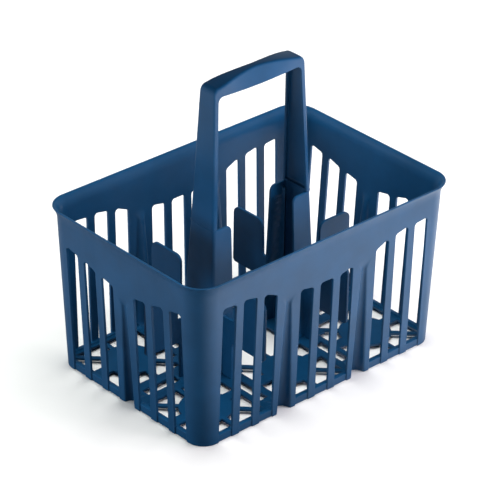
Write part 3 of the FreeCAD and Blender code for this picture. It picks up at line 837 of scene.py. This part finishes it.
def leg_out(level):
    return LEG_OUT[0] + (LEG_OUT[1] - LEG_OUT[0]) * level / SHOULDER_LEVEL


def leg_half(level):
    return LEG_HALF[0] + (LEG_HALF[1] - LEG_HALF[0]) * level / SHOULDER_LEVEL


def face_crown(share, half):
    """How far a leg's outer face falls back at a share of the way out to its edge."""
    return FACE_CROWN * half / LEG_HALF[0] * np.clip(share, 0, 1) ** 2


# The socket's sheet unrolled from one arm's end to the other's.
ARM = 24.0
BEND = 5.0
ACROSS = 20.0


def socket_place(u, level, depth):
    """A point of the socket: u is 0 in the middle of its outer face."""
    out, half = leg_out(level), leg_half(level) + SOCKET_STEP
    size = np.abs(u)
    flat = np.clip(size / ACROSS, 0, 1) * (half - LEG_CORNER)
    swing = np.clip((size - ACROSS) / BEND, 0, 1) * math.pi / 2
    share = np.clip((size - ACROSS - BEND) / ARM, 0, 2)
    arm = share * (out - LEG_CORNER - ARM_END)
    crown = face_crown(size / (ACROSS + BEND), half) * np.clip(1 - share, 0, 1)
    y = flat + (LEG_CORNER - depth) * np.sin(swing)
    x = out - LEG_CORNER + (LEG_CORNER - depth) * np.cos(swing) - arm - crown
    return np.stack([x, np.sign(u) * y, level], axis=1)


def spread(low, high, step):
    """Even places from low to high, no further apart than step."""
    return list(np.linspace(low, high, max(2, math.ceil((high - low) / step) + 1)))


def add_socket(shape):
    """A channel that stands on the floor, closed outwards, with an arm on each side."""
    end = ACROSS + BEND + ARM
    low, high = FLOOR_TOP, SOCKET_LEVEL
    outline = [(-end, low), (end, low), (end, high - ARM_CORNER)]
    outline += circle_points((end - ARM_CORNER, high - ARM_CORNER), ARM_CORNER,
                             0, 90, CORNER_ARC)
    outline += circle_points((-end + ARM_CORNER, high - ARM_CORNER), ARM_CORNER,
                             90, 180, CORNER_ARC)
    columns = spread(-ACROSS, ACROSS, SOCKET_GRID)
    for side in (-1, 1):
        columns += [side * c for c in np.linspace(ACROSS, ACROSS + BEND, BEND_COLUMNS)]
    rows = spread(low, high, SOCKET_GRID)
    grid = [(u, level) for u in sorted(set(columns)) for level in rows]
    plate(shape, [subdivide(outline, SHEET_STEP)], socket_place, SKIN, EDGE, grid)


FLAG_START = 40.0
FLAG_END = DIVIDER_TOP[1]
SIDE_FLAG_START = 95.0
SIDE_FLAG_END = DIVIDER_TOP[0]
FLAG_TOP = 112.0
FLAG_BOTTOM = 47.0
FLAG_CORNER = 8.0
ROOT_TOP = 73.0


def flag_outline(root, start, end):
    """A plate that stands on the floor at its root and carries a flag clear of the floor."""
    foot = FLAG_CORNER / 2
    high = FLAG_TOP - FLAG_CORNER
    outline = [(root, FLOOR_TOP), (start - SHEET, FLOOR_TOP)]
    outline += circle_points((start, FLAG_BOTTOM - SHEET), SHEET, 180, 90, SHEET_ARC)
    outline += circle_points((end - foot, FLAG_BOTTOM + foot), foot, -90, 0, SHEET_ARC)
    outline += circle_points((end - FLAG_CORNER, high), FLAG_CORNER, 0, 90, CORNER_ARC)
    outline += circle_points((start + FLAG_CORNER, high), FLAG_CORNER, 90, 180, CORNER_ARC)
    outline += circle_points((start - SHEET, ROOT_TOP + SHEET), SHEET, 0, -90, SHEET_ARC)
    return outline + [(root, ROOT_TOP)]


def add_flags(shape):
    """One flag towards the end wall and one towards each long wall."""
    def place_along(u, v, depth):
        return np.stack([u, depth - SHEET / 2, v], axis=1)

    def place_across(u, v, depth):
        return np.stack([FLAG_PLANE + SHEET / 2 - depth, u, v], axis=1)

    side = flag_outline(leg_out(ROOT_TOP) - SKIN / 2, SIDE_FLAG_START, SIDE_FLAG_END)
    plate(shape, [side], place_along, SHEET, EDGE)
    across = flag_outline(leg_half(ROOT_TOP) + SOCKET_STEP - SKIN / 2, FLAG_START, FLAG_END)
    plate(shape, [across], place_across, SHEET, EDGE)
    plate(shape, [[(-u, v) for u, v in reversed(across)]], place_across, SHEET, EDGE)


TONGUE_HALF = 13.6
TONGUE_LEVEL = BOW_FOOT[2]
RAIL_HALF = 12.2
RAIL_BACK = 56.4
TONGUE_X = (leg_out(SOCKET_LEVEL) - LEG_DEPTH, leg_out(SOCKET_LEVEL) - SKIN - GAP)


def add_rails(shape):
    """The two ribs inside the arms that the tongue slides between: a front and a back lip each."""
    high = SOCKET_LEVEL - ARM_CORNER
    rows = spread(TONGUE_LEVEL, high, RAIL_GRID)
    for side in (-1, 1):
        for near, far in ((RAIL_BACK, TONGUE_X[0] - GAP), (TONGUE_X[1] + GAP, None)):
            def place(u, v, depth, side=side, near=near, far=far):
                reach = leg_out(v) - SKIN / 2 if far is None else far
                wall = leg_half(v) + SOCKET_STEP - SKIN / 2
                y = RAIL_HALF + (wall - RAIL_HALF) * depth
                return np.stack([near + (reach - near) * u, side * y, v], axis=1)

            add_bar(shape, rows, place, side < 0)


def add_bar(shape, rows, place, flip):
    """A closed four-sided bar whose section is the unit square of u and depth, along v."""
    rings = []
    for level in rows:
        u = np.array([0.0, 1.0, 1.0, 0.0])
        depth = np.array([0.0, 0.0, 1.0, 1.0])
        ring = place(u, np.full(4, level), depth) * MM
        rings.append([shape.verts.new(p) for p in ring])
    faces = [(rings[0][3], rings[0][2], rings[0][1], rings[0][0]), tuple(rings[-1])]
    for lower, upper in zip(rings, rings[1:]):
        faces += [(lower[k], lower[(k + 1) % 4], upper[(k + 1) % 4], upper[k]) for k in range(4)]
    for corners in faces:
        shape.faces.new(corners[::-1] if flip else corners)


HOOK_WIDTH = 10.0
HOOK_SHEET = 2.4
HOOK_LIP = 1.2
HOOK_ROOT = 9.0
SMALL_EDGE = 0.25
SHELF_LOW = 82.0
SHELF_HALF = 7.0


def add_hooks(shape):
    """Three legs that pass through the floor, each with a lip that catches under it."""
    half = HOOK_SHEET / 2
    outline = [(-half, GAP), (half, GAP), (half + HOOK_LIP, FLOOR_BOTTOM - 4 * GAP),
               (half + HOOK_LIP, FLOOR_BOTTOM - GAP), (half, FLOOR_BOTTOM - GAP),
               (half, HOOK_ROOT), (-half, HOOK_ROOT)]
    middle = HOOK_WIDTH / 2
    for side in (-1, 1):
        def place(u, v, depth, side=side):
            return np.stack([FLAG_PLANE + u, side * HOOK_Y + depth - middle, v], axis=1)

        plate(shape, [outline], place, HOOK_WIDTH, SMALL_EDGE)
    plate(shape, [outline], lambda u, v, depth: np.stack([HOOK_X + middle - depth, u, v], axis=1),
          HOOK_WIDTH, SMALL_EDGE)


def add_shelf(shape):
    """The shelf inside the socket that the lug of the tongue catches under."""
    x0, x1 = leg_out(SOCKET_LEVEL) - SKIN, leg_out(SHELF_LOW + SKIN) - SKIN / 2
    plate(shape, [rectangle(x0, -SHELF_HALF, x1, SHELF_HALF)],
          lambda u, v, depth: np.stack([u, v, SHELF_LOW + SKIN - depth], axis=1), SKIN, SMALL_EDGE)


# ---------------------------------------------------------------- bow

CROWN_LEVEL = BOW_TOP[2]
WINDOW_LEVEL = 305.5
WINDOW_SAG = 1.5
BOW_CORNER = 7.0
WINDOW_CORNER = 6.0
WAIST_LOW = 306.0
WAIST_HALF = 4.6
WAIST_END_HALF = 12.0
WAIST_REACH = 52.0
WAIST_POWER = 1.65
WAIST_FLARE = 0.6
WAIST_CLEAR = 3.0
WAIST_BLEND = 0.6

# The bow's sheet unrolled: along it from one foot, and across it from its middle line.
LEG_RUN = 141.5
CORNER_RUN = 11.0
TOP_RUN = 52.0
FACE_RUN = 12.0
EDGE_RUN = 4.5
FLANK_RUN = 9.0
BOW_RUN = 2 * (LEG_RUN + CORNER_RUN + TOP_RUN)
FACE_GRID = 3.0
FLANK_COLUMNS = 4
LEG_GRID = 6.0
TOP_GRID = 2.0
CORNER_ROWS = 13


def bow_spine(along):
    """The bow's outer edge and its window's edge, seen from the front, for the right half."""
    side_out = leg_out(SHOULDER_LEVEL - BOW_CORNER)
    side_in = leg_out(WINDOW_LEVEL - WINDOW_CORNER) - LEG_DEPTH
    climb = np.clip(along / LEG_RUN, 0, 1)
    turn = np.clip((along - LEG_RUN) / CORNER_RUN, 0, 1) * math.pi / 2
    over = np.clip((along - LEG_RUN - CORNER_RUN) / TOP_RUN, 0, 1)
    z_out = SOCKET_LEVEL + (SHOULDER_LEVEL - BOW_CORNER - SOCKET_LEVEL) * climb
    z_in = SOCKET_LEVEL + (WINDOW_LEVEL - WINDOW_CORNER - SOCKET_LEVEL) * climb
    x_out = np.where(climb < 1, leg_out(z_out), side_out - BOW_CORNER * (1 - np.cos(turn)))
    x_in = np.where(climb < 1, leg_out(z_in) - LEG_DEPTH,
                    side_in - WINDOW_CORNER * (1 - np.cos(turn)))
    x_out = np.where(over > 0, (side_out - BOW_CORNER) * (1 - over), x_out)
    x_in = np.where(over > 0, (side_in - WINDOW_CORNER) * (1 - over), x_in)
    z_out = z_out + BOW_CORNER * np.sin(turn)
    z_in = z_in + WINDOW_CORNER * np.sin(turn)
    rise = over * (2 - over)
    z_out = z_out + (CROWN_LEVEL - SHOULDER_LEVEL) * rise
    z_in = z_in - WINDOW_SAG * rise
    return x_out, z_out, x_in, z_in


def bow_halves(x, z_out, z_in):
    """Half-widths of the bow at its window's edge and at its outer edge."""
    near = leg_half(z_in)
    share = np.clip(np.abs(x) / WAIST_REACH, 0, 1)
    waist = WAIST_HALF + (WAIST_END_HALF - WAIST_HALF) * share ** WAIST_POWER
    low = leg_half(WAIST_LOW) + WAIST_FLARE * share
    shaved = low + (waist - low) * (z_out - WAIST_LOW) / (CROWN_LEVEL - WAIST_LOW)
    full = leg_half(z_out)
    shaved = np.where(z_out > SHOULDER_LEVEL - BOW_CORNER, shaved, full + WAIST_CLEAR)
    smaller = np.log(np.exp(-shaved / WAIST_BLEND) + np.exp(-full / WAIST_BLEND))
    return near, -WAIST_BLEND * smaller


def bow_place(u, along, depth):
    """A point of the bow: u is 0 on its middle line, and along runs from one foot to the other."""
    end = np.where(along > BOW_RUN / 2, -1.0, 1.0)
    run = np.where(along > BOW_RUN / 2, BOW_RUN - along, along)
    x_out, z_out, x_in, z_in = bow_spine(run)
    near, far = bow_halves(x_out, z_out, z_in)
    way = np.stack([x_in - x_out, z_in - z_out], axis=1)
    reach = np.linalg.norm(way, axis=1)
    way /= reach[:, None]
    lean = np.arctan2(near - far, reach)
    trim = LEG_CORNER * np.tan((math.pi / 2 - lean) / 2)
    size = np.abs(u)
    flat = np.clip(size / FACE_RUN, 0, 1)
    round_ = np.clip((size - FACE_RUN) / EDGE_RUN, 0, 1)
    down = np.clip((size - FACE_RUN - EDGE_RUN) / FLANK_RUN, 0, 1)
    face_y = far - trim
    flank_y, flank_e = far + trim * np.sin(lean), trim * np.cos(lean)
    y = (1 - round_) ** 2 * face_y + 2 * round_ * (1 - round_) * far + round_ ** 2 * flank_y
    e = round_ ** 2 * flank_e
    y = np.where(size < FACE_RUN, flat * face_y, y) + down * (near - flank_y)
    e = e + down * (reach - flank_e)
    turn = round_ * (math.pi / 2 - lean)
    normal_y, normal_e = np.sin(turn), -np.cos(turn)
    e = e + face_crown(size / (FACE_RUN + EDGE_RUN), far) * (1 - down)
    y = y - depth * normal_y
    e = e - depth * normal_e
    x = end * (x_out + e * way[:, 0])
    z = z_out + e * way[:, 1]
    return np.stack([x, np.sign(u) * y, z], axis=1)


def add_channel(shape):
    """The bow's legs, corners and grip, one sheet bent into a channel open towards the hand."""
    side = FACE_RUN + EDGE_RUN + FLANK_RUN
    outline = subdivide(rectangle(-side, 0.0, side, BOW_RUN), SHEET_STEP)
    columns = spread(-FACE_RUN, FACE_RUN, FACE_GRID)
    bend = np.linspace(FACE_RUN, FACE_RUN + EDGE_RUN, BEND_COLUMNS)[1:]
    flank = np.linspace(FACE_RUN + EDGE_RUN, side, FLANK_COLUMNS)[1:-1]
    for sign in (-1, 1):
        columns += [sign * c for c in bend]
        columns += [sign * c for c in flank]
    half = spread(0, LEG_RUN, LEG_GRID)
    half += list(np.linspace(LEG_RUN, LEG_RUN + CORNER_RUN, CORNER_ROWS)[1:])
    half += spread(LEG_RUN + CORNER_RUN, BOW_RUN / 2, TOP_GRID)[1:]
    rows = half + [BOW_RUN - row for row in half[:-1]]
    grid = [(u, v) for u in sorted(set(columns)) for v in rows]
    plate(shape, [outline], bow_place, SKIN, EDGE, grid)


LUG_HALF = 5.0
LUG_LOW = 74.0
LUG_HIGH = 81.8
LUG_REACH = 3.0


def add_soles(shape):
    """A sole closes the foot of each leg and stands on the socket."""
    half = leg_half(SOCKET_LEVEL) - 3 * GAP
    for end in (-1, 1):
        x0, x1 = sorted((end * (TONGUE_X[0] + GAP), end * (leg_out(SOCKET_LEVEL) - 2 * GAP)))
        plate(shape, [rectangle(x0, -half, x1, half)],
              lambda u, v, depth: np.stack([u, v, SOCKET_LEVEL + SKIN - depth], axis=1),
              SKIN, SMALL_EDGE)


def add_upright_plates(shape, outline, near, far):
    """A flat plate across the caddy on each side, between two distances from its middle."""
    for face in (far, -near):
        def place(u, v, depth, face=face):
            return np.stack([face - depth, u, v], axis=1)

        plate(shape, [outline], place, far - near, SMALL_EDGE)


def add_tongues(shape):
    """The straight plates under the legs that slide down between the sockets' rails."""
    outline = rectangle(-TONGUE_HALF, TONGUE_LEVEL, TONGUE_HALF, SOCKET_LEVEL + SKIN / 2)
    add_upright_plates(shape, outline, *TONGUE_X)


def add_lugs(shape):
    """The lugs on the tongues that catch under the sockets' shelves."""
    outline = rectangle(-LUG_HALF, LUG_LOW, LUG_HALF, LUG_HIGH)
    near = TONGUE_X[1] - GAP
    add_upright_plates(shape, outline, near, near + LUG_REACH)


# ---------------------------------------------------------------- material

BASE_COLOUR = (0.0075, 0.072, 0.175)
IOR = 1.5
# The noises: cloudy pigment, flow marks drawn out upwards, the eroded grain and the scuffs.
CLOUD = {"Scale": 22.0, "Detail": 4.0, "Roughness": 0.6}
FLOW = {"Scale": 60.0, "Detail": 3.0, "Distortion": 0.6}
FLOW_STRETCH = (1.0, 1.0, 0.12)
GRAIN = {"Scale": 1500.0, "Detail": 2.0}
SCUFFS = {"Scale": 160.0, "Detail": 6.0, "Roughness": 0.75}
# The ramps: from and to these inputs, from and to these values.
PATCHES = (0.35, 0.65, 0.0, 1.0)
WORN_EDGES = (0.52, 0.62, 0.0, 0.5)
GLOSS = (0.3, 0.7, 0.37, 0.44)
SHADES = (0.9, 1.1)
WORN_GAIN = 1.3
WORN_LIFT = 0.03
FINE_BUMP = {"Strength": 0.12, "Distance": 0.00008}
BROAD_BUMP = {"Strength": 0.1, "Distance": 0.0004}


def make_plastic(name, colour, seed):
    """Satin moulded plastic: cloudy pigment, faint flow marks, a fine eroded grain, worn edges.
    The seed shifts the pattern from piece to piece."""
    material, nodes, links = new_material(name)
    surface = nodes["Principled BSDF"]
    place = nodes.new("ShaderNodeTexCoord").outputs["Object"]
    shift = nodes.new("ShaderNodeMapping")
    shift.inputs["Location"].default_value = (seed, 2 * seed, 3 * seed)
    links.new(place, shift.inputs["Vector"])
    spot = shift.outputs["Vector"]

    cloud = add_node(nodes, "ShaderNodeTexNoise", **CLOUD)
    links.new(spot, cloud.inputs["Vector"])
    stretch = nodes.new("ShaderNodeMapping")
    stretch.inputs["Scale"].default_value = FLOW_STRETCH
    links.new(spot, stretch.inputs["Vector"])
    flow = add_node(nodes, "ShaderNodeTexNoise", **FLOW)
    links.new(stretch.outputs["Vector"], flow.inputs["Vector"])
    grain = add_node(nodes, "ShaderNodeTexNoise", **GRAIN)
    links.new(spot, grain.inputs["Vector"])
    scuffs = add_node(nodes, "ShaderNodeTexNoise", **SCUFFS)
    links.new(spot, scuffs.inputs["Vector"])

    tint = nodes.new("ShaderNodeMix")
    tint.data_type = "RGBA"
    for side, shade in zip("AB", SHADES):
        tint.inputs[side].default_value = (*[c * shade for c in colour], 1)
    patches = add_ramp(nodes, *PATCHES)
    links.new(cloud.outputs["Fac"], patches.inputs["Value"])
    links.new(patches.outputs["Result"], tint.inputs["Factor"])

    edges = add_ramp(nodes, *WORN_EDGES)
    links.new(nodes.new("ShaderNodeNewGeometry").outputs["Pointiness"], edges.inputs["Value"])
    worn = nodes.new("ShaderNodeMath")
    worn.operation = "MULTIPLY"
    links.new(edges.outputs["Result"], worn.inputs[0])
    links.new(scuffs.outputs["Fac"], worn.inputs[1])
    pale = nodes.new("ShaderNodeMix")
    pale.data_type = "RGBA"
    pale.inputs["B"].default_value = (*[c * WORN_GAIN + WORN_LIFT for c in colour], 1)
    links.new(worn.outputs["Value"], pale.inputs["Factor"])
    links.new(tint.outputs["Result"], pale.inputs["A"])
    links.new(pale.outputs["Result"], surface.inputs["Base Color"])

    gloss = add_ramp(nodes, *GLOSS)
    links.new(flow.outputs["Fac"], gloss.inputs["Value"])
    links.new(gloss.outputs["Result"], surface.inputs["Roughness"])

    fine = add_node(nodes, "ShaderNodeBump", **FINE_BUMP)
    links.new(grain.outputs["Fac"], fine.inputs["Height"])
    broad = add_node(nodes, "ShaderNodeBump", **BROAD_BUMP)
    links.new(flow.outputs["Fac"], broad.inputs["Height"])
    links.new(fine.outputs["Normal"], broad.inputs["Normal"])
    links.new(broad.outputs["Normal"], surface.inputs["Normal"])
    surface.inputs["IOR"].default_value = IOR
    return material


# ---------------------------------------------------------------- pieces


def finish_piece(piece, node, seed):
    bpy.context.scene.collection.objects.link(piece)
    piece.data.materials.clear()
    piece.data.materials.append(make_plastic(f"{piece.name}_plastic", BASE_COLOUR, seed))
    piece.modifiers.new("weighted_normals", "WEIGHTED_NORMAL").keep_sharp = True
    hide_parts(node)
    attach(piece, "root")


def moulding(name, adders):
    """One moulding: its closed parts joined into one solid."""
    parts = []
    for number, add in enumerate(adders):
        shape = bmesh.new()
        add(shape)
        bmesh.ops.remove_doubles(shape, verts=shape.verts, dist=WELD * MM)
        mesh = bpy.data.meshes.new(f"{name}_{number}")
        shape.to_mesh(mesh)
        shape.free()
        part = bpy.data.objects.new(f"{name}_{number}", mesh)
        bpy.context.scene.collection.objects.link(part)
        parts.append(part)
    whole = parts[0]
    for part in parts[1:]:
        union = whole.modifiers.new("union", "BOOLEAN")
        union.operation = "UNION"
        union.solver = "EXACT"
        union.object = part
    graph = bpy.context.evaluated_depsgraph_get()
    mesh = bpy.data.meshes.new_from_object(whole.evaluated_get(graph))
    for part in parts:
        bpy.data.objects.remove(part)
    mesh.name = name
    mesh.polygons.foreach_set("use_smooth", [True] * len(mesh.polygons))
    return bpy.data.objects.new(name, mesh)


def mirrored(piece, name):
    mesh = piece.data.copy()
    mesh.name = name
    mesh.transform(Matrix.Scale(-1, 4, Vector((1, 0, 0))))
    mesh.flip_normals()
    return bpy.data.objects.new(name, mesh)


basket = moulding("basket_moulding", (add_wall, add_band, add_floor))
right = moulding("divider_right_moulding",
                 (add_socket, add_flags, add_rails, add_hooks, add_shelf))
left = mirrored(right, "divider_left_moulding")
bow = moulding("handle_bow_moulding", (add_channel, add_soles, add_tongues, add_lugs))
NODES = {"basket": basket, "divider_right": right, "divider_left": left, "handle_bow": bow}
for number, (node, piece) in enumerate(NODES.items()):
    finish_piece(piece, node, float(number))
SHELL = make_group("shell", (basket,))
CARRIED = make_group("carried", (bow, right, left))
LOW = make_group("low", (basket, right, left))
make_light("inside", only=LOW)
make_light("fill", only=SHELL)
make_light("leg", only=CARRIED)
make_light("grip", only=CARRIED)
